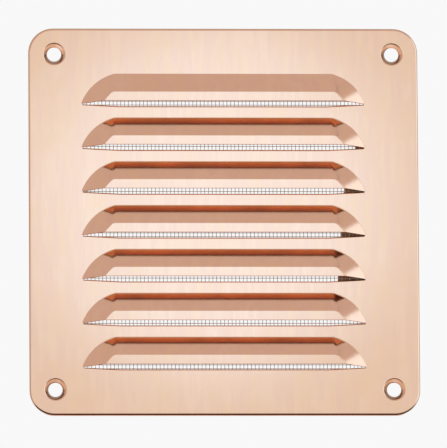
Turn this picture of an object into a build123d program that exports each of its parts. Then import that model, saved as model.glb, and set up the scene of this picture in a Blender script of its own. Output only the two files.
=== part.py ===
"""Louvre vent: one pressed copper sheet with seven hoods, and a woven fly mesh bonded to its back.

The vent stands upright against a wall. X runs to the right, Z up, and the wall is the plane Y = 0.
The front of the vent faces -Y, so Y falls from the wall towards the front.
All sizes are in millimetres.
"""

from build123d import *
import os

# Sheet and rim
PLATE_SIZE = 150.0
PLATE_CORNER_R = 9.6
SHEET = 0.7
RIM_DEPTH = 2.5
RIM_BEND_R = 0.9

# Screw seats, pressed back into the sheet for countersunk screws
HOLE_SPACING = 130.0
HOLE_R = 2.75
SEAT_R = 4.2
SEAT_FIELD_R = 7.0
SEAT_DEPTH = 1.7
SEAT_BEND_R = 0.6
SEAT_BACK_SPREAD = 0.3

# Louvre hoods: the foot is where a hood leaves the sheet and the lip is its flat front.
# Each hood is drawn with its mouth line, the line of the slit, at Z = 0.
LOUVRES = 7
LOUVRE_PITCH = 17.0
FIELD_TOP = 57.12
HOOD_RISE = 4.6
FOOT_HEIGHT = 11.45
FOOT_HALF_LENGTH = 54.5
FOOT_HALF_TOP = 41.7
FOOT_SIDE_R = 18.5
LIP_HEIGHT = 4.25
LIP_HALF_LENGTH = 46.7
LIP_HALF_TOP = 43.0
LIP_SIDE_R = 40.0
LIP_LIFT = 0.65
FOOT_BEND_R = 0.7
FOOT_BACK_BEND_R = 1.3
LIP_BEND_R = 1.0
LIP_BACK_BEND_R = 0.5
SHOULDER_R = 4.0
SHOULDER_BACK_R = 3.4

# Slit under each hood, shallower at its tips, whose lower front edge is rolled over by the press
SLIT_GAP = 0.93
SLIT_TIP_GAP = 0.2
SLIT_HALF_LENGTH = 54.2
SLIT_HALF_LEVEL = 40.0
SLIT_ROLL_R = 0.5

# Fly mesh, as straight wires in two layers
WIRE_R = 0.13
WIRE_PITCH = 1.46
WARP_WIRES = 81
WEFT_WIRES = 83
WIRE_END = 0.3
LAYER_CLEARANCE = 0.005

# Bead that bonds the edge of the mesh to the sheet
BOND_COVER = 2.0
BOND_OUTSIDE = 1.7
BOND_CORNER_R = 4.0
BOND_THICKNESS = 0.55
BOND_BEND_R = 0.4
BOND_CLEARANCE = 0.03

# Broad stretch of the bead behind the right ends of the louvres, as (X, Z) points
PATCH_OUTLINE = [(57, 34), (50.9, 30), (46.0, 11), (43.4, -22), (45.0, -29), (57, -31)]
PATCH_CORNER_R = 1.5

FRONT_Y = -RIM_DEPTH
BACK_Y = FRONT_Y + SHEET
WARP_Y = BACK_Y + WIRE_R + LAYER_CLEARANCE
WEFT_Y = WARP_Y + 2 * WIRE_R + LAYER_CLEARANCE
MESH_BACK_Y = WEFT_Y + WIRE_R
MESH_HALF_X = (WARP_WIRES - 1) * WIRE_PITCH / 2 + WIRE_END
MESH_HALF_Z = (WEFT_WIRES - 1) * WIRE_PITCH / 2 + WIRE_END
AT_DEPTH = 0.01
TRIM = 200.0
MIRRORED_REACH = 1.5 * FOOT_HEIGHT
SHEET_REACH = 2 * FOOT_HEIGHT


def facing_front(y):
    """The plane at depth y that looks to the front, with X to the right and Z as its own Y."""
    return Plane(origin=(0, y, 0), x_dir=(1, 0, 0), z_dir=(0, -1, 0))


def rounded_slab(half_x, half_z, corner_r, y_front, y_back):
    """A slab between two depths, with rounded corners."""
    outline = RectangleRounded(2 * half_x, 2 * half_z, corner_r)
    return extrude(facing_front(y_back) * outline, amount=y_back - y_front)


def block(half_x, z_low, z_high, y_front, y_back):
    """A square-cornered block between two depths and two heights, centred in X."""
    size = Box(2 * half_x, y_back - y_front, z_high - z_low)
    return Pos(0, (y_front + y_back) / 2, (z_low + z_high) / 2) * size


def edges_at_depth(solid, y):
    """The edges that lie wholly at one depth."""
    return solid.edges().filter_by_position(Axis.Y, y - AT_DEPTH, y + AT_DEPTH)


def make_tray():
    """The plain sheet with its rim turned back all round."""
    half = PLATE_SIZE / 2
    outside = rounded_slab(half, half, PLATE_CORNER_R, FRONT_Y, 0)
    outside = fillet(edges_at_depth(outside, FRONT_Y), RIM_BEND_R)
    inner_half = half - SHEET
    inside = rounded_slab(inner_half, inner_half, PLATE_CORNER_R - SHEET, BACK_Y, 0)
    inside = fillet(edges_at_depth(inside, BACK_Y), RIM_BEND_R - SHEET)
    return outside - inside


def make_seat():
    """The ring of sheet round one screw hole, pressed back into a cone, centred on the Y axis."""
    hole_y = FRONT_Y + SEAT_DEPTH
    brow = (SEAT_R, FRONT_Y)
    back_brow = (SEAT_R + SEAT_BACK_SPREAD, BACK_Y)
    front_line = [(SEAT_FIELD_R, FRONT_Y), brow, (HOLE_R, hole_y)]
    back_line = [(HOLE_R, hole_y + SHEET), back_brow, (SEAT_FIELD_R, BACK_Y)]
    section = make_face(Polyline(*front_line, *back_line, close=True))
    section = fillet(section.vertices().sort_by_distance(brow)[0], SEAT_BEND_R)
    return revolve(section, Axis.Y)


def hood_outline(half_length, half_top, height, side_r):
    """The plan of a hood and its mirror image below the mouth line."""
    left, right = (-half_length, 0), (half_length, 0)
    top_left, top_right = (-half_top, height), (half_top, height)
    low_left, low_right = (-half_top, -height), (half_top, -height)
    right_side = RadiusArc(right, top_right, -side_r)
    left_side = RadiusArc(top_left, left, -side_r)
    low_left_side = RadiusArc(left, low_left, -side_r)
    low_right_side = RadiusArc(low_right, right, -side_r)
    upper = [right_side, Line(top_right, top_left), left_side]
    lower = [low_left_side, Line(low_left, low_right), low_right_side]
    return make_face(upper + lower)


def hood_form(y_foot, shoulder_r, lip_bend_r, foot_bend_r):
    """The solid under one surface of a hood, joined to its mirror image below the mouth line.

    It runs from the sheet's surface, at depth y_foot, out to the lip."""
    y_lip = y_foot - HOOD_RISE
    foot = hood_outline(FOOT_HALF_LENGTH, FOOT_HALF_TOP, FOOT_HEIGHT, FOOT_SIDE_R)
    lip = hood_outline(LIP_HALF_LENGTH, LIP_HALF_TOP, LIP_HEIGHT, LIP_SIDE_R)
    form = loft([facing_front(y_foot) * foot, facing_front(y_lip) * lip], ruled=True)
    between = form.edges().filter_by_position(Axis.Y, y_lip + AT_DEPTH, y_foot - AT_DEPTH)
    slanted = [edge for edge in between if abs(edge.center().Z) > LIP_HEIGHT]
    form = fillet(slanted, shoulder_r)
    form = fillet(edges_at_depth(form, y_lip), lip_bend_r)
    sheet_half_x = FOOT_HALF_LENGTH + SEAT_FIELD_R
    form = form + block(sheet_half_x, -SHEET_REACH, SHEET_REACH, y_foot, y_foot + SHEET)
    near = [edge for edge in edges_at_depth(form, y_foot) if abs(edge.center().Z) < MIRRORED_REACH]
    foot_edges = [edge for edge in near if abs(edge.center().X) < FOOT_HALF_LENGTH + AT_DEPTH]
    form = fillet(foot_edges, foot_bend_r)
    return form & block(TRIM, -TRIM, TRIM, y_lip - SHEET, y_foot)


def above_mouth():
    """The space above the mouth of a hood, whose floor rises from the mouth line to the edge of the lip."""
    slope = LIP_LIFT / HOOD_RISE
    y_far = FRONT_Y - 2 * HOOD_RISE
    mouth_line = (FRONT_Y, 0)
    far_floor = (y_far, (FRONT_Y - y_far) * slope)
    section = make_face(Polyline(mouth_line, far_floor, (y_far, TRIM), (FRONT_Y, TRIM), close=True))
    return extrude(Plane.YZ * section, amount=TRIM, both=True)


def make_slit():
    """The cut through the sheet below the mouth line of one hood, flared at its lower front edge."""
    tip_x, level_x = SLIT_HALF_LENGTH, SLIT_HALF_LEVEL
    left_half = [(-tip_x, SHEET), (-tip_x, -SLIT_TIP_GAP), (-level_x, -SLIT_GAP)]
    right_half = [(level_x, -SLIT_GAP), (tip_x, -SLIT_TIP_GAP), (tip_x, SHEET)]
    outline = make_face(Polyline(*left_half, *right_half, close=True))
    opening = extrude(facing_front(BACK_Y + SHEET) * outline, amount=3 * SHEET)
    sheet_x, sheet_z = tip_x + SHEET, -SLIT_GAP - 2 * SLIT_ROLL_R
    sheet_below = block(sheet_x, sheet_z, 0, FRONT_Y, BACK_Y) - opening
    cut_edges = edges_at_depth(sheet_below, FRONT_Y)
    rolled = [edge for edge in cut_edges if sheet_z < edge.center().Z < 0 and abs(edge.center().X) < tip_x]
    sheet_below = fillet(rolled, SLIT_ROLL_R)
    return block(tip_x, sheet_z, 0, FRONT_Y - SHEET, BACK_Y + SHEET) - sheet_below


def make_louvre_plate():
    """The pressed sheet: rim, screw seats and hoods in one piece."""
    plate = make_tray()
    reach = HOLE_SPACING / 2
    seat = make_seat()
    bore = Rot(90, 0, 0) * Cylinder(SEAT_FIELD_R, 3 * RIM_DEPTH)
    for x in (-reach, reach):
        for z in (-reach, reach):
            plate = plate - Pos(x, 0, z) * bore + Pos(x, 0, z) * seat
    hood = hood_form(FRONT_Y, SHOULDER_R, LIP_BEND_R, FOOT_BEND_R) & above_mouth()
    under_hood = hood_form(BACK_Y, SHOULDER_BACK_R, LIP_BACK_BEND_R, FOOT_BACK_BEND_R)
    hollow = under_hood & block(TRIM, 0, TRIM, -TRIM, TRIM)
    hollow = hollow + make_slit()
    for louvre in range(LOUVRES):
        mouth_z = FIELD_TOP - FOOT_HEIGHT - louvre * LOUVRE_PITCH
        plate = plate + Pos(0, 0, mouth_z) * hood - Pos(0, 0, mouth_z) * hollow
    return plate


def row_of_wires(count, half_length, turn, step, y):
    """A layer of parallel straight wires, each a separate solid."""
    wires = []
    for index in range(count):
        offset = (index - (count - 1) / 2) * WIRE_PITCH
        place = Pos(step[0] * offset, y, step[1] * offset)
        wires.append(place * turn * Cylinder(WIRE_R, 2 * half_length))
    return Compound(children=wires)


def make_mesh_warp():
    """The upright wires, against the back of the sheet."""
    return row_of_wires(WARP_WIRES, MESH_HALF_Z, Rot(0, 0, 0), (1, 0), WARP_Y)


def make_mesh_weft():
    """The level wires, behind the upright ones."""
    return row_of_wires(WEFT_WIRES, MESH_HALF_X, Rot(0, 90, 0), (0, 1), WEFT_Y)


def make_mesh_bond():
    """The bead over the edge of the mesh, down to the sheet outside it."""
    y_back = MESH_BACK_Y + BOND_THICKNESS
    half_x, half_z = MESH_HALF_X + BOND_OUTSIDE, MESH_HALF_Z + BOND_OUTSIDE
    bead = rounded_slab(half_x, half_z, BOND_CORNER_R, BACK_Y, y_back)
    window_x, window_z = MESH_HALF_X - BOND_COVER, MESH_HALF_Z - BOND_COVER
    bead = bead - rounded_slab(window_x, window_z, BOND_COVER, BACK_Y - SHEET, y_back + SHEET)
    patch = make_face(Polyline(*PATCH_OUTLINE, close=True))
    inner_corners = [corner for corner in patch.vertices() if corner.X < window_x]
    patch = fillet(inner_corners, PATCH_CORNER_R)
    bead = bead + extrude(facing_front(y_back) * patch, amount=y_back - BACK_Y)
    bead = fillet(edges_at_depth(bead, y_back), BOND_BEND_R)
    room_x, room_z = MESH_HALF_X + BOND_CLEARANCE, MESH_HALF_Z + BOND_CLEARANCE
    return bead - block(room_x, -room_z, room_z, BACK_Y - SHEET, MESH_BACK_Y + LAYER_CLEARANCE)


PARTS = {
    "louvre_plate": make_louvre_plate,
    "mesh_warp_wires": make_mesh_warp,
    "mesh_weft_wires": make_mesh_weft,
    "mesh_bond": make_mesh_bond,
}


if __name__ == "__main__":
    os.makedirs("parts", exist_ok=True)
    for node, make in PARTS.items():
        export_step(make(), f"parts/{node}.step")
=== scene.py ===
"""Dresses the louvre vent: brushed copper for the pressed sheet, a woven fly mesh, the bead that holds it,
and a pale studio to see it in. Sizes are in metres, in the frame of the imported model."""

import math

import bpy
from mathutils import Matrix, Vector, noise


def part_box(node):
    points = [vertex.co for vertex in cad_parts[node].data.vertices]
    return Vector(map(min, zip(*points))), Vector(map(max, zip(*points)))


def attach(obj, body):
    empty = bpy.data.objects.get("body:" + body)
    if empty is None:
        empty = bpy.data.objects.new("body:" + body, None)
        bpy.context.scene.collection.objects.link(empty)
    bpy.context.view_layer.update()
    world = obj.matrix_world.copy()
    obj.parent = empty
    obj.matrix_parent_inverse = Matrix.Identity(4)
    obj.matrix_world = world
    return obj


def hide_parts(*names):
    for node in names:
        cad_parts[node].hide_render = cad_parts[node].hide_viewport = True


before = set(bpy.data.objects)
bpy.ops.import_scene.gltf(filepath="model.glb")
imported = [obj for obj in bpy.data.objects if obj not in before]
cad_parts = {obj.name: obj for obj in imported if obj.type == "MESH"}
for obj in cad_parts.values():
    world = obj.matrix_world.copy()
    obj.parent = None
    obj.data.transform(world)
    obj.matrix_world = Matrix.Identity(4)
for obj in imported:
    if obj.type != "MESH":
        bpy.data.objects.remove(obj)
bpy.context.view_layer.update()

bl_info = {
    "name": "Louvre Vent",
    "version": (1, 0, 0),
    "blender": (4, 5, 0),
    "location": "View3D > Sidebar > Vent",
    "description": "Finishes a pressed copper louvre vent with a woven fly mesh behind its hoods",
    "category": "Object",
}

MM = 0.001
ROOT = "root"
PLATE_NODE = "louvre_plate"
WARP_NODE = "mesh_warp_wires"
WEFT_NODE = "mesh_weft_wires"
BOND_NODE = "mesh_bond"
COPPER_SLOT = "copper_sheet"


# ---------------------------------------------------------------- settings


class CopperSettings(bpy.types.PropertyGroup):
    colour: bpy.props.FloatVectorProperty(
        name="Copper", description="Colour of the brushed front", subtype="COLOR",
        size=3, min=0.0, max=1.0, default=(0.945, 0.735, 0.605))
    # Painted shade: this deep orange darkens the hood insides as if little light reached them; on the back
    # and the sheared edges it is the raw copper.
    shade_and_raw_colour: bpy.props.FloatVectorProperty(
        name="Hood shade and raw copper", description="Colour of the unpolished back, which shows inside the hoods",
        subtype="COLOR", size=3, min=0.0, max=1.0, default=(0.88, 0.305, 0.125))
    roughness: bpy.props.FloatProperty(
        name="Roughness", description="Gloss of the brushed front", subtype="FACTOR",
        min=0.0, max=1.0, default=0.14)
    raw_roughness: bpy.props.FloatProperty(
        name="Raw roughness", description="Gloss of the unpolished back", subtype="FACTOR",
        min=0.0, max=1.0, default=0.34)
    grain_pitch: bpy.props.FloatProperty(
        name="Grain pitch", description="Distance between the brushing lines", subtype="DISTANCE",
        unit="LENGTH", min=0.00002, default=0.00035)
    grain_depth: bpy.props.FloatProperty(
        name="Grain depth", description="Depth of the brushing lines", subtype="DISTANCE",
        unit="LENGTH", min=0.0, default=0.000004)
    edge_radius: bpy.props.FloatProperty(
        name="Edge radius", description="How far the polish from handling reaches in from an edge",
        subtype="DISTANCE", unit="LENGTH", min=0.0, default=0.0005)


class MeshSettings(bpy.types.PropertyGroup):
    pitch: bpy.props.FloatProperty(
        name="Wire pitch", description="Distance from wire to wire", subtype="DISTANCE",
        unit="LENGTH", min=0.0005, default=0.00146)
    steps: bpy.props.IntProperty(
        name="Steps", description="Points along each wire between two crossings", min=2, default=3)
    sides: bpy.props.IntProperty(
        name="Sides", description="Sides of each wire's section", min=3, default=6)
    wires_per_piece: bpy.props.IntProperty(
        name="Wires per piece", description="How many wires share one object", min=1, default=28)
    colour: bpy.props.FloatVectorProperty(
        name="Wire", description="Colour of the dark drawn wire", subtype="COLOR",
        size=3, min=0.0, max=1.0, default=(0.58, 0.50, 0.41))


class BondSettings(bpy.types.PropertyGroup):
    # Dark brown of the bead behind the mesh.
    colour: bpy.props.FloatVectorProperty(
        name="Bead colour", description="Colour of the cured bead", subtype="COLOR",
        size=3, min=0.0, max=1.0, default=(0.20, 0.105, 0.052))
    face_size: bpy.props.FloatProperty(
        name="Face size", description="Size of the faces that the bead is made of", subtype="DISTANCE",
        unit="LENGTH", min=0.0001, default=0.00028)
    swell: bpy.props.FloatProperty(
        name="Swell", description="How far the bead swells and thins", subtype="DISTANCE",
        unit="LENGTH", min=0.0, default=0.00022)
    stray: bpy.props.FloatProperty(
        name="Stray", description="How far the bead's edges stray sideways", subtype="DISTANCE",
        unit="LENGTH", min=0.0, default=0.0006)
    lump: bpy.props.FloatProperty(
        name="Lump", description="Length of one swelling of the bead", subtype="DISTANCE",
        unit="LENGTH", min=0.001, default=0.006)


class StudioSettings(bpy.types.PropertyGroup):
    camera_turn: bpy.props.FloatProperty(
        name="Camera turn", description="How far to the left the camera stands", subtype="ANGLE",
        unit="ROTATION", default=math.radians(3))
    camera_drop: bpy.props.FloatProperty(
        name="Camera drop", description="How far below the vent the camera stands", subtype="ANGLE",
        unit="ROTATION", default=math.radians(8))
    camera_roll: bpy.props.FloatProperty(
        name="Camera roll", description="Turn of the camera about its own line of sight", subtype="ANGLE",
        unit="ROTATION", default=math.radians(-0.38))
    camera_distance: bpy.props.FloatProperty(
        name="Camera distance", description="From the camera to the vent", subtype="DISTANCE",
        unit="LENGTH", default=4.0)
    view_height: bpy.props.FloatProperty(
        name="View height", description="Height of the picture at the vent", subtype="DISTANCE",
        unit="LENGTH", default=0.172)
    aim_x: bpy.props.FloatProperty(
        name="Aim X", description="Where the camera aims, to the right of the plate's middle",
        subtype="DISTANCE", unit="LENGTH", default=-0.00027)
    aim_z: bpy.props.FloatProperty(
        name="Aim Z", description="Where the camera aims, above the plate's middle",
        subtype="DISTANCE", unit="LENGTH", default=-0.0012)
    floor_drop: bpy.props.FloatProperty(
        name="Floor drop", description="How far the floor lies below the vent", subtype="DISTANCE",
        unit="LENGTH", default=1.0)
    front_light: bpy.props.FloatVectorProperty(
        name="Front light", description="Light of the room in front of the vent", subtype="COLOR",
        size=3, min=0.0, default=(0.835, 0.745, 0.655))
    box_light: bpy.props.FloatVectorProperty(
        name="Soft box light", description="Light at the middle of the soft box", subtype="COLOR",
        size=3, min=0.0, default=(0.25, 0.42, 0.58))


# ---------------------------------------------------------------- node helpers


def add_node(tree, kind, **values):
    """A node of that kind. A value sets an input by name or number, or else a property of the node."""
    node = tree.nodes.new(kind)
    for key, value in values.items():
        if hasattr(node, key):
            setattr(node, key, value)
        else:
            node.inputs[key].default_value = value
    return node


def join(tree, start, end):
    tree.links.new(start, end)


def maths(tree, operation, first, second=None, third=None, clamp=False):
    """The output of a Math node whose inputs are sockets or numbers."""
    node = tree.nodes.new("ShaderNodeMath")
    node.operation = operation
    node.use_clamp = clamp
    for place, value in enumerate((first, second, third)):
        if value is None:
            continue
        if isinstance(value, (int, float)):
            node.inputs[place].default_value = value
        else:
            join(tree, value, node.inputs[place])
    return node.outputs[0]


def blend_colours(tree, share, first, second, mode="MIX"):
    """The output of a colour Mix node whose inputs are sockets, numbers or colours."""
    node = tree.nodes.new("ShaderNodeMix")
    node.data_type = "RGBA"
    node.blend_type = mode
    sockets = [s for s in node.inputs if s.type == "RGBA"]
    factor = next(s for s in node.inputs if s.name == "Factor" and s.type == "VALUE")
    for socket, value in ((factor, share), (sockets[0], first), (sockets[1], second)):
        if isinstance(value, bpy.types.NodeSocket):
            join(tree, value, socket)
        elif isinstance(value, (int, float)):
            socket.default_value = value
        else:
            socket.default_value = (*value[:3], 1.0)
    return next(s for s in node.outputs if s.type == "RGBA")


def smooth_step(tree, value, low, high):
    """0 below low, 1 above high, and a smooth rise between."""
    node = tree.nodes.new("ShaderNodeMapRange")
    node.interpolation_type = "SMOOTHSTEP"
    join(tree, value, node.inputs["Value"])
    node.inputs["From Min"].default_value = low
    node.inputs["From Max"].default_value = high
    return node.outputs["Result"]


def split_xyz(tree, vector):
    """The X, Y and Z outputs of a vector."""
    parts = add_node(tree, "ShaderNodeSeparateXYZ")
    join(tree, vector, parts.inputs[0])
    return parts.outputs


def scaled_vector(tree, vector, factors):
    """The output of a vector multiplied by another, axis by axis."""
    node = add_node(tree, "ShaderNodeVectorMath", operation="MULTIPLY")
    join(tree, vector, node.inputs[0])
    join(tree, factors, node.inputs[1])
    return node.outputs[0]


def add_bump(tree, shader, height, strength, depth):
    """Bump from a height between 0 and 1, to that depth, on a shader."""
    bump = add_node(tree, "ShaderNodeBump", Strength=strength, Distance=depth)
    join(tree, height, bump.inputs["Height"])
    join(tree, bump.outputs[0], shader.inputs["Normal"])


def tinted(colour, tint):
    """A colour multiplied by a tint, which is a colour or a number."""
    factors = (tint,) * 3 if isinstance(tint, (int, float)) else tint
    return tuple(part * factor for part, factor in zip(colour, factors))


def new_material(name):
    """A material with a Principled BSDF, and its tree and shader."""
    material = bpy.data.materials.new(name)
    material.use_nodes = True
    tree = material.node_tree
    shader = next(n for n in tree.nodes if n.type == "BSDF_PRINCIPLED")
    return material, tree, shader


# ---------------------------------------------------------------- shared effects


def new_group(name, inputs, outputs):
    """A shader node group. inputs is (name, kind, value), and outputs is (name, kind)."""
    group = bpy.data.node_groups.new(name, "ShaderNodeTree")
    for label, kind, value in inputs:
        socket = group.interface.new_socket(label, in_out="INPUT", socket_type=kind)
        if value is not None:
            socket.default_value = value
    for label, kind in outputs:
        group.interface.new_socket(label, in_out="OUTPUT", socket_type=kind)
    return group, group.nodes.new("NodeGroupInput"), group.nodes.new("NodeGroupOutput")


def place_group(tree, group, **values):
    """The group as a node in a tree. A value sets the input of that name, with spaces for underscores."""
    node = tree.nodes.new("ShaderNodeGroup")
    node.node_tree = group
    for label, value in values.items():
        socket = node.inputs[label.replace("_", " ")]
        if isinstance(value, bpy.types.NodeSocket):
            join(tree, value, socket)
        else:
            socket.default_value = value
    return node


STREAKS_PER_LINE = 0.11
STREAK_BAND = (0.4, 0.6)


def grain_group():
    """Fine lines along one direction: brushing marks on the sheet, drawing marks on the wire."""
    group, given, result = new_group(
        "grain_lines",
        (("Vector", "NodeSocketVector", None), ("Lines per Metre", "NodeSocketFloat", 3000.0),
         ("Stretch", "NodeSocketVector", (1.0, 1.0, 0.02)),
         ("Streak Stretch", "NodeSocketVector", (1.0, 1.0, 0.12))),
        (("Height", "NodeSocketFloat"), ("Streaks", "NodeSocketFloat")))
    place, lines = given.outputs["Vector"], given.outputs["Lines per Metre"]
    fine = add_node(group, "ShaderNodeTexNoise", Detail=3.0, Roughness=0.65)
    join(group, scaled_vector(group, place, given.outputs["Stretch"]), fine.inputs["Vector"])
    join(group, lines, fine.inputs["Scale"])
    broad = add_node(group, "ShaderNodeTexNoise", Detail=4.0, Roughness=0.6)
    join(group, scaled_vector(group, place, given.outputs["Streak Stretch"]), broad.inputs["Vector"])
    join(group, maths(group, "MULTIPLY", lines, STREAKS_PER_LINE), broad.inputs["Scale"])
    join(group, fine.outputs["Fac"], result.inputs["Height"])
    join(group, smooth_step(group, broad.outputs["Fac"], *STREAK_BAND), result.inputs["Streaks"])
    return group


SPECKS_PER_PATCH = 9.0
SPECK_SIZE = (0.09, 0.16)
SPECKED_CLOUD = (0.52, 0.58)


def mottle_group():
    """Cloudy patches, from 0 to 1: tarnish on copper and wire, lighter patches on the dark bead."""
    group, given, result = new_group(
        "mottle",
        (("Vector", "NodeSocketVector", None), ("Patches per Metre", "NodeSocketFloat", 60.0),
         ("Softness", "NodeSocketFloat", 0.2)),
        (("Patches", "NodeSocketFloat"), ("Specks", "NodeSocketFloat")))
    clouds = add_node(group, "ShaderNodeTexNoise", Detail=5.0, Roughness=0.6, Distortion=0.4)
    join(group, given.outputs["Vector"], clouds.inputs["Vector"])
    join(group, given.outputs["Patches per Metre"], clouds.inputs["Scale"])
    spread = add_node(group, "ShaderNodeMapRange")
    join(group, clouds.outputs["Fac"], spread.inputs["Value"])
    join(group, maths(group, "SUBTRACT", 0.5, given.outputs["Softness"]), spread.inputs["From Min"])
    join(group, maths(group, "ADD", 0.5, given.outputs["Softness"]), spread.inputs["From Max"])
    join(group, spread.outputs["Result"], result.inputs["Patches"])
    dots = add_node(group, "ShaderNodeTexVoronoi", feature="F1")
    join(group, given.outputs["Vector"], dots.inputs["Vector"])
    join(group, maths(group, "MULTIPLY", given.outputs["Patches per Metre"], SPECKS_PER_PATCH),
         dots.inputs["Scale"])
    clear = smooth_step(group, dots.outputs["Distance"], *SPECK_SIZE)
    chosen = smooth_step(group, clouds.outputs["Fac"], *SPECKED_CLOUD)
    specks = maths(group, "MULTIPLY", maths(group, "SUBTRACT", 1.0, clear), chosen)
    join(group, specks, result.inputs["Specks"])
    return group


WORN_TURN = (0.01, 0.16)
WORN_BREAKS = (0.3, 0.6)


def edge_group():
    """How near a point is to a sharp or tightly bent edge, from 0 to 1, broken up as if handled."""
    group, given, result = new_group(
        "edge_wear",
        (("Vector", "NodeSocketVector", None), ("Radius", "NodeSocketFloat", 0.0005)),
        (("Edge", "NodeSocketFloat"),))
    rounded = add_node(group, "ShaderNodeBevel")
    join(group, given.outputs["Radius"], rounded.inputs["Radius"])
    straight = add_node(group, "ShaderNodeNewGeometry").outputs["Normal"]
    likeness = add_node(group, "ShaderNodeVectorMath", operation="DOT_PRODUCT")
    join(group, rounded.outputs["Normal"], likeness.inputs[0])
    join(group, straight, likeness.inputs[1])
    turn = maths(group, "SUBTRACT", 1.0, likeness.outputs["Value"])
    breaks = add_node(group, "ShaderNodeTexNoise", Scale=700.0, Detail=3.0)
    join(group, given.outputs["Vector"], breaks.inputs["Vector"])
    bent = smooth_step(group, turn, *WORN_TURN)
    rubbed = smooth_step(group, breaks.outputs["Fac"], *WORN_BREAKS)
    worn = maths(group, "MULTIPLY", bent, rubbed)
    join(group, worn, result.inputs["Edge"])
    return group


def shared(name, make):
    """The node group of that name, built the first time it is asked for."""
    return bpy.data.node_groups.get(name) or make()


# ---------------------------------------------------------------- copper


TARNISH = (0.985, 0.965, 0.915)
STREAK = (0.975, 0.95, 0.965)
POLISH = 1.03
POLISH_SHARE = 0.6
COPPER_SPECK = (0.55, 0.36, 0.25)
COPPER_SPECK_SHARE = 0.12
# Random deeper patches in the painted hood shade and raw copper.
DEEP_SHADE_AND_RAW = 0.78
COPPER_PATCH_SOFTNESS = 0.1
SHEARED_FACING = (0.90, 0.96)  # how squarely a face looks down
INSIDE_FACING = (0.05, 0.3)  # how squarely a face looks to the wall
FIELD_HALF_WIDTH = (0.0715, 0.0705)  # the rim outside this stays brushed
GRAIN_GLOSS = 0.10
POLISH_GLOSS = -0.04
BRUSHED_ANISOTROPY = 0.5


def copper_material(settings):
    """Brushed copper in front. A deep orange on the back, inside the hoods and on the sheared lower edges:
    raw copper, and inside the hoods also painted shade for the light that dims between hood and mesh.
    """
    material, tree, shader = new_material("brushed_copper")
    here = add_node(tree, "ShaderNodeTexCoord")
    place, facing = here.outputs["Object"], split_xyz(tree, here.outputs["Normal"])
    grain = place_group(tree, shared("grain_lines", grain_group), Vector=place,
                        Lines_per_Metre=1.0 / settings.grain_pitch)
    mottle = place_group(tree, shared("mottle", mottle_group), Vector=place, Softness=COPPER_PATCH_SOFTNESS)
    wear = place_group(tree, shared("edge_wear", edge_group), Vector=place, Radius=settings.edge_radius)

    clean = tuple(settings.colour)
    polished = tuple(min(1.0, part) for part in tinted(clean, POLISH))
    specks = maths(tree, "MULTIPLY", mottle.outputs["Specks"], COPPER_SPECK_SHARE)
    handled = maths(tree, "MULTIPLY", wear.outputs["Edge"], POLISH_SHARE)
    front = blend_colours(tree, mottle.outputs["Patches"], clean, tinted(clean, TARNISH))
    front = blend_colours(tree, grain.outputs["Streaks"], front, tinted(clean, STREAK))
    front = blend_colours(tree, specks, front, COPPER_SPECK)
    front = blend_colours(tree, handled, front, polished)

    # Painted shade inside the hoods: the deep orange stands for light dimmed by bouncing between hood and
    # mesh; on the back and the sheared edges it is raw copper.
    shade_and_raw = tuple(settings.shade_and_raw_colour)
    back = blend_colours(tree, mottle.outputs["Patches"], shade_and_raw, tinted(shade_and_raw, DEEP_SHADE_AND_RAW))

    # Where the painted hood shade and raw copper go: faces that look to the wall, and faces that look down
    # within the field.
    inside = smooth_step(tree, facing["Y"], *INSIDE_FACING)
    sheared = smooth_step(tree, maths(tree, "MULTIPLY", facing["Z"], -1.0), *SHEARED_FACING)
    outward = maths(tree, "ABSOLUTE", split_xyz(tree, place)["X"])
    within = smooth_step(tree, outward, *FIELD_HALF_WIDTH)
    shade_and_raw_mask = maths(tree, "MAXIMUM", inside, maths(tree, "MULTIPLY", sheared, within))
    join(tree, blend_colours(tree, shade_and_raw_mask, front, back), shader.inputs["Base Color"])
    shader.inputs["Metallic"].default_value = 1.0

    smoothest = settings.roughness - GRAIN_GLOSS / 2
    gloss = maths(tree, "MULTIPLY_ADD", grain.outputs["Height"], GRAIN_GLOSS, smoothest)
    gloss = maths(tree, "MULTIPLY_ADD", wear.outputs["Edge"], POLISH_GLOSS, gloss)
    dull = maths(tree, "MULTIPLY_ADD", shade_and_raw_mask, settings.raw_roughness - settings.roughness, gloss)
    join(tree, dull, shader.inputs["Roughness"])
    shader.inputs["Anisotropic"].default_value = BRUSHED_ANISOTROPY
    across = add_node(tree, "ShaderNodeCombineXYZ", X=1.0)
    join(tree, across.outputs[0], shader.inputs["Tangent"])
    add_bump(tree, shader, grain.outputs["Height"], 0.25, settings.grain_depth)
    return material


class VENT_OT_dress_plate(bpy.types.Operator):
    """Give the pressed sheet its brushed copper"""

    bl_idname = "vent.dress_plate"
    bl_label = "Louvre plate"

    def execute(self, context):
        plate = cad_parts[PLATE_NODE]
        plate.data.materials.clear()
        plate.data.materials.append(copper_material(context.scene.vent_copper))
        return {"FINISHED"}


# ---------------------------------------------------------------- fly mesh


WIRE_PATCHES_PER_METRE = 700.0
WIRE_LINES_PER_METRE = 9000.0
WIRE_STRETCH = (0.2, 1.0, 0.2)
RUBBED = 1.4
RUBBED_SHARE = 0.6
WIRE_METALLIC = 0.7
WIRE_ROUGHNESS = 0.32
WIRE_GRAIN_GLOSS = 0.3
WIRE_GRAIN_DEPTH = 0.01 * MM


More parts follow.
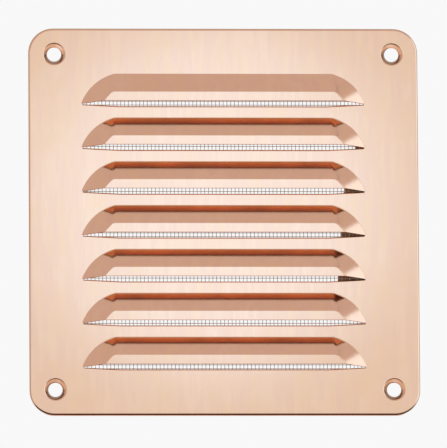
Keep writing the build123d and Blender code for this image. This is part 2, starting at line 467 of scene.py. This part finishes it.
def wire_material(settings):
    """Dark drawn wire, rubbed bright in patches."""
    material, tree, shader = new_material("drawn_wire")
    place = add_node(tree, "ShaderNodeTexCoord").outputs["Object"]
    mottle = place_group(tree, shared("mottle", mottle_group), Vector=place,
                         Patches_per_Metre=WIRE_PATCHES_PER_METRE)
    grain = place_group(tree, shared("grain_lines", grain_group), Vector=place,
                        Lines_per_Metre=WIRE_LINES_PER_METRE, Stretch=WIRE_STRETCH)
    base = tuple(settings.colour)
    rubbed = maths(tree, "MULTIPLY", mottle.outputs["Patches"], RUBBED_SHARE)
    join(tree, blend_colours(tree, rubbed, base, tinted(base, RUBBED)), shader.inputs["Base Color"])
    gloss = maths(tree, "MULTIPLY_ADD", grain.outputs["Height"], WIRE_GRAIN_GLOSS, WIRE_ROUGHNESS)
    join(tree, gloss, shader.inputs["Roughness"])
    shader.inputs["Metallic"].default_value = WIRE_METALLIC
    add_bump(tree, shader, grain.outputs["Height"], 0.3, WIRE_GRAIN_DEPTH)
    return material


def woven_wires(name, lines, steps, sides, radius, y_middle, swing, pitch, along, half_length):
    """One object of wires that run along one axis and pass over and under the wires of the other.

    lines holds each wire's (number, place). A wire swings to the front at every second crossing.
    """
    across = 2 - along
    crossings = round(2 * half_length / pitch)
    count = crossings * steps + 1
    points, faces = [], []
    for number, place in lines:
        first = len(points)
        for step in range(count):
            length = -half_length + 2 * half_length * step / (count - 1)
            phase = math.pi * (length / pitch + number)
            sway = swing * math.cos(phase)
            slope = -swing * math.pi / pitch * math.sin(phase)
            tilt = math.hypot(1.0, slope)
            for side in range(sides):
                turn = 2 * math.pi * side / sides
                out, over = radius * math.cos(turn), radius * math.sin(turn)
                point = [0.0, 0.0, 0.0]
                point[across] = place + over
                point[1] = y_middle + sway + out / tilt
                point[along] = length - out * slope / tilt
                points.append(point)
        for step in range(count - 1):
            for side in range(sides):
                here = first + step * sides + side
                beside = first + step * sides + (side + 1) % sides
                faces.append((here, beside, beside + sides, here + sides))
        last = first + (count - 1) * sides
        faces.append(tuple(range(first + sides - 1, first - 1, -1)))
        faces.append(tuple(range(last, last + sides)))
    mesh = bpy.data.meshes.new(name)
    mesh.from_pydata(points, [], faces)
    mesh.validate()
    mesh.shade_smooth()
    piece = bpy.data.objects.new(name, mesh)
    bpy.context.scene.collection.objects.link(piece)
    return piece


def wire_places(node, across, pitch, radius):
    """The places of a node's wires across their layer, worked out from its box."""
    low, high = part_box(node)
    count = round((high[across] - low[across] - 2 * radius) / pitch) + 1
    return [(index - (count - 1) / 2) * pitch for index in range(count)]


class VENT_OT_weave_mesh(bpy.types.Operator):
    """Weave the fly mesh that shows below each hood"""

    bl_idname = "vent.weave_mesh"
    bl_label = "Fly mesh"

    def execute(self, context):
        settings = context.scene.vent_mesh
        material = wire_material(settings)
        warp_low, warp_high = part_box(WARP_NODE)
        weft_low, weft_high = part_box(WEFT_NODE)
        radius = (warp_high.y - warp_low.y) / 2
        y_middle = (warp_low.y + weft_high.y) / 2
        swing = (weft_high.y - warp_low.y) / 2 - radius
        layers = (("warp", WARP_NODE, 2, warp_high.z, 1.0), ("weft", WEFT_NODE, 0, weft_high.x, -1.0))
        for name, node, along, half_length, side in layers:
            across = 2 - along
            places = wire_places(node, across, settings.pitch, radius)
            middle = (len(places) - 1) // 2
            lines = [(index - middle, place) for index, place in enumerate(places)]
            share = settings.wires_per_piece
            for start in range(0, len(lines), share):
                piece = woven_wires(
                    f"fly_mesh_{name}_{start // share + 1}", lines[start:start + share], settings.steps,
                    settings.sides, radius, y_middle, -side * swing, settings.pitch, along, half_length)
                piece.data.materials.append(material)
                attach(piece, ROOT)
                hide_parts(node)
        return {"FINISHED"}


# ---------------------------------------------------------------- bond bead


BOND_PATCHES_PER_METRE = 240.0
CHALK = 1.7
CHALK_DUST = 0.01
BOND_SPECK = (0.2, 0.17, 0.14)
BOND_SPECK_SHARE = 0.5
BOND_ROUGHNESS = 0.38
CHALK_ROUGHNESS = 0.25
BOND_LUMP_DEPTH = 0.06 * MM


def bond_material(settings):
    """Dark brown bead with lighter patches and specks."""
    material, tree, shader = new_material("dark_bead")
    place = add_node(tree, "ShaderNodeTexCoord").outputs["Object"]
    mottle = place_group(tree, shared("mottle", mottle_group), Vector=place,
                         Patches_per_Metre=BOND_PATCHES_PER_METRE)
    patches = mottle.outputs["Patches"]
    base = tuple(settings.colour)
    chalky = tuple(part + CHALK_DUST for part in tinted(base, CHALK))
    specks = maths(tree, "MULTIPLY", mottle.outputs["Specks"], BOND_SPECK_SHARE)
    colour = blend_colours(tree, patches, base, chalky)
    join(tree, blend_colours(tree, specks, colour, BOND_SPECK), shader.inputs["Base Color"])
    gloss = maths(tree, "MULTIPLY_ADD", patches, CHALK_ROUGHNESS, BOND_ROUGHNESS)
    join(tree, gloss, shader.inputs["Roughness"])
    add_bump(tree, shader, patches, 0.4, BOND_LUMP_DEPTH)
    return material


SOFTEN_STEPS = 3
BACK_FACING = 0.3  # faces turned this far to the wall swell
SIDE_FACING = 0.8  # faces turned less than this far to the wall stray
STRAY_FREQUENCY = 2.0
STRAY_FALL_OFF = 0.8
STRAY_GAP = 2.2
STRAY_OCTAVES = 3


def uneven_bead(settings):
    """The bead as it is laid by hand: the plain one in fine faces, swollen and thinned along its length."""
    piece = bpy.data.objects.new("bond_bead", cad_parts[BOND_NODE].data.copy())
    bpy.context.scene.collection.objects.link(piece)
    fine = piece.modifiers.new("fine_faces", "REMESH")
    fine.mode = "VOXEL"
    fine.voxel_size = settings.face_size
    soften = piece.modifiers.new("soften", "SMOOTH")
    soften.iterations = SOFTEN_STEPS
    shaped = piece.evaluated_get(bpy.context.evaluated_depsgraph_get())
    mesh = bpy.data.meshes.new_from_object(shaped)
    piece.modifiers.clear()
    piece.data = mesh
    mesh_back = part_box(WEFT_NODE)[1].y
    outward = [vertex.normal.copy() for vertex in mesh.vertices]
    for vertex, along in zip(mesh.vertices, outward):
        spot = vertex.co / settings.lump
        if along.y > BACK_FACING or vertex.co.y > mesh_back:
            vertex.co.y += settings.swell * noise.noise(spot)
        if abs(along.y) < SIDE_FACING and vertex.co.y > mesh_back:
            stray = noise.fractal(spot * STRAY_FREQUENCY, STRAY_FALL_OFF, STRAY_GAP, STRAY_OCTAVES)
            push = settings.stray * stray
            vertex.co.x += along.x * push
            vertex.co.z += along.z * push
    mesh.shade_smooth()
    return piece


class VENT_OT_lay_bond(bpy.types.Operator):
    """Lay the bead that holds the edge of the mesh"""

    bl_idname = "vent.lay_bond"
    bl_label = "Bond bead"

    def execute(self, context):
        settings = context.scene.vent_bond
        piece = uneven_bead(settings)
        piece.data.materials.clear()
        piece.data.materials.append(bond_material(settings))
        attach(piece, ROOT)
        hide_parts(BOND_NODE)
        return {"FINISHED"}


# ---------------------------------------------------------------- studio


# Each part of the room: the axis it lies along, where it begins, where it is full, and its light.
# A later part covers the ones before it. "lean" is upward, less the further to the right.
ROOM_PARTS = (
    ("right", 0.4, 0.7, (1.12, 1.13, 1.14)),  # bright wall on the right
    ("right", -0.55, -0.9, (0.55, 0.42, 0.35)),  # brown wall on the left
    ("up", -0.15, -0.5, (0.52, 0.40, 0.33)),  # brown low down
    ("lean", 0.19, 0.25, (0.64, 0.47, 0.385)),  # brown overhead
    ("back", -0.2, 0.0, (0.36, 0.29, 0.25)),  # dark round the sides
    ("up", -0.4, -0.6, (0.055, 0.03, 0.018)),  # nearly black underneath
    ("back", 0.45, 0.8, (0.95, 0.95, 0.95)),  # white behind
)
LEAN = -0.6
ROOM_WHITE = (0.9, 0.9, 0.9)
BACKDROP_WHITE = (0.94, 0.94, 0.94)


def studio_world(front_light):
    """The room, by direction: front light, and ROOM_PARTS round it. Matt surfaces are lit by plain white
    from all round, and the backdrop is white."""
    world = bpy.data.worlds.new("pale_room")
    bpy.context.scene.world = world
    world.use_nodes = True
    tree = world.node_tree
    background = next(n for n in tree.nodes if n.type == "BACKGROUND")
    way = add_node(tree, "ShaderNodeTexCoord").outputs["Generated"]
    right, back, up = split_xyz(tree, way)
    lean = maths(tree, "MULTIPLY_ADD", maths(tree, "MAXIMUM", right, 0.0), LEAN, up)
    axes = {"right": right, "back": back, "up": up, "lean": lean}
    room = tuple(front_light)
    for axis, begins, full, light in ROOM_PARTS:
        room = blend_colours(tree, smooth_step(tree, axes[axis], begins, full), room, light)
    path = add_node(tree, "ShaderNodeLightPath")
    room = blend_colours(tree, path.outputs["Is Diffuse Ray"], room, ROOM_WHITE)
    room = blend_colours(tree, path.outputs["Is Camera Ray"], room, BACKDROP_WHITE)
    join(tree, room, background.inputs["Color"])


BOX_SIDE = 0.26
BOX_PLACE = Vector((0.023, -0.55, 0.086))
GLOW_REACH = (0.37, 0.235)  # out from the middle, in sides of the box: where the glow ends and is full


def soft_box(light):
    """A soft box in front of the vent, bright in its middle, that the middle of the plate reflects."""
    data = bpy.data.lights.new("soft_box", "AREA")
    data.shape = "SQUARE"
    data.size = BOX_SIDE
    data.energy = math.pi * BOX_SIDE * BOX_SIDE
    data.use_nodes = True
    tree = data.node_tree
    lamp = next(n for n in tree.nodes if n.type == "EMISSION")
    spot = add_node(tree, "ShaderNodeNewGeometry").outputs["Parametric"]
    out = add_node(tree, "ShaderNodeVectorMath", operation="DISTANCE")
    join(tree, spot, out.inputs[0])
    out.inputs[1].default_value = (0.5, 0.5, 0.0)
    glow = smooth_step(tree, out.outputs["Value"], *GLOW_REACH)
    join(tree, blend_colours(tree, glow, (0.0, 0.0, 0.0), tuple(light)), lamp.inputs["Color"])
    box = bpy.data.objects.new("soft_box", data)
    box.location = BOX_PLACE
    box.rotation_euler = (math.radians(90.0) - math.atan2(BOX_PLACE.z, -BOX_PLACE.y), 0.0, 0.0)
    box.visible_camera = False
    bpy.context.scene.collection.objects.link(box)


FLOOR_RADIUS = 6.0
FLOOR_SIDES = 96
FLOOR_GREYS = ((0.86, 0.86, 0.86), (0.9, 0.9, 0.9))
FLOOR_ROUGHNESS = 0.9


def studio_floor(drop):
    """A round matt floor, so far down that the vent hangs clear of it. It isn't seen in the copper."""
    turns = [2 * math.pi * index / FLOOR_SIDES for index in range(FLOOR_SIDES)]
    points = [(FLOOR_RADIUS * math.cos(turn), FLOOR_RADIUS * math.sin(turn), -drop) for turn in turns]
    mesh = bpy.data.meshes.new("studio_floor")
    mesh.from_pydata(points, [], [tuple(range(FLOOR_SIDES))])
    floor = bpy.data.objects.new("studio_floor", mesh)
    bpy.context.scene.collection.objects.link(floor)
    material, tree, shader = new_material("pale_floor")
    speck = add_node(tree, "ShaderNodeTexNoise", Scale=3.0, Detail=4.0)
    join(tree, blend_colours(tree, speck.outputs["Fac"], *FLOOR_GREYS), shader.inputs["Base Color"])
    shader.inputs["Roughness"].default_value = FLOOR_ROUGHNESS
    floor.data.materials.append(material)
    floor.visible_glossy = False


SENSOR_MM = 36.0
FAR_CLIP = 40.0


def studio_camera(settings):
    """A long lens, low and to the left, which takes in view_height at the vent."""
    data = bpy.data.cameras.new("camera")
    camera = bpy.data.objects.new("camera", data)
    bpy.context.scene.collection.objects.link(camera)
    turn, drop = settings.camera_turn, settings.camera_drop
    back = Vector((-math.sin(turn) * math.cos(drop), -math.cos(turn) * math.cos(drop), -math.sin(drop)))
    low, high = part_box(PLATE_NODE)
    target = (low + high) / 2 + Vector((settings.aim_x, 0.0, settings.aim_z))
    camera.location = target + back * settings.camera_distance
    aim = (-back).to_track_quat("-Z", "Y").to_matrix().to_4x4()
    roll = Matrix.Rotation(settings.camera_roll, 4, "Z")
    camera.matrix_world = Matrix.Translation(camera.location) @ aim @ roll
    data.sensor_width = SENSOR_MM
    data.lens = SENSOR_MM * settings.camera_distance / settings.view_height
    data.clip_end = FAR_CLIP
    bpy.context.scene.camera = camera


class VENT_OT_set_studio(bpy.types.Operator):
    """Set up the floor, the light and the camera"""

    bl_idname = "vent.set_studio"
    bl_label = "Studio"

    def execute(self, context):
        settings = context.scene.vent_studio
        studio_world(settings.front_light)
        soft_box(settings.box_light)
        studio_floor(settings.floor_drop)
        studio_camera(settings)
        context.scene.view_settings.view_transform = "Standard"
        return {"FINISHED"}


# ---------------------------------------------------------------- add-on


class VENT_PT_panel(bpy.types.Panel):
    bl_label = "Louvre vent"
    bl_idname = "VENT_PT_panel"
    bl_space_type = "VIEW_3D"
    bl_region_type = "UI"
    bl_category = "Vent"

    def draw(self, context):
        for kind in OPERATORS:
            self.layout.operator(kind.bl_idname)


SETTINGS = {
    "vent_copper": CopperSettings,
    "vent_mesh": MeshSettings,
    "vent_bond": BondSettings,
    "vent_studio": StudioSettings,
}
OPERATORS = (VENT_OT_dress_plate, VENT_OT_weave_mesh, VENT_OT_lay_bond, VENT_OT_set_studio)


def register():
    for kind in (*SETTINGS.values(), *OPERATORS, VENT_PT_panel):
        bpy.utils.register_class(kind)
    for name, kind in SETTINGS.items():
        setattr(bpy.types.Scene, name, bpy.props.PointerProperty(type=kind))


def unregister():
    for name in SETTINGS:
        delattr(bpy.types.Scene, name)
    for kind in (VENT_PT_panel, *reversed(OPERATORS), *reversed(SETTINGS.values())):
        bpy.utils.unregister_class(kind)


def main():
    register()
    bpy.ops.vent.dress_plate()
    bpy.ops.vent.weave_mesh()
    bpy.ops.vent.lay_bond()
    bpy.ops.vent.set_studio()


if __name__ == "__main__":
    main()
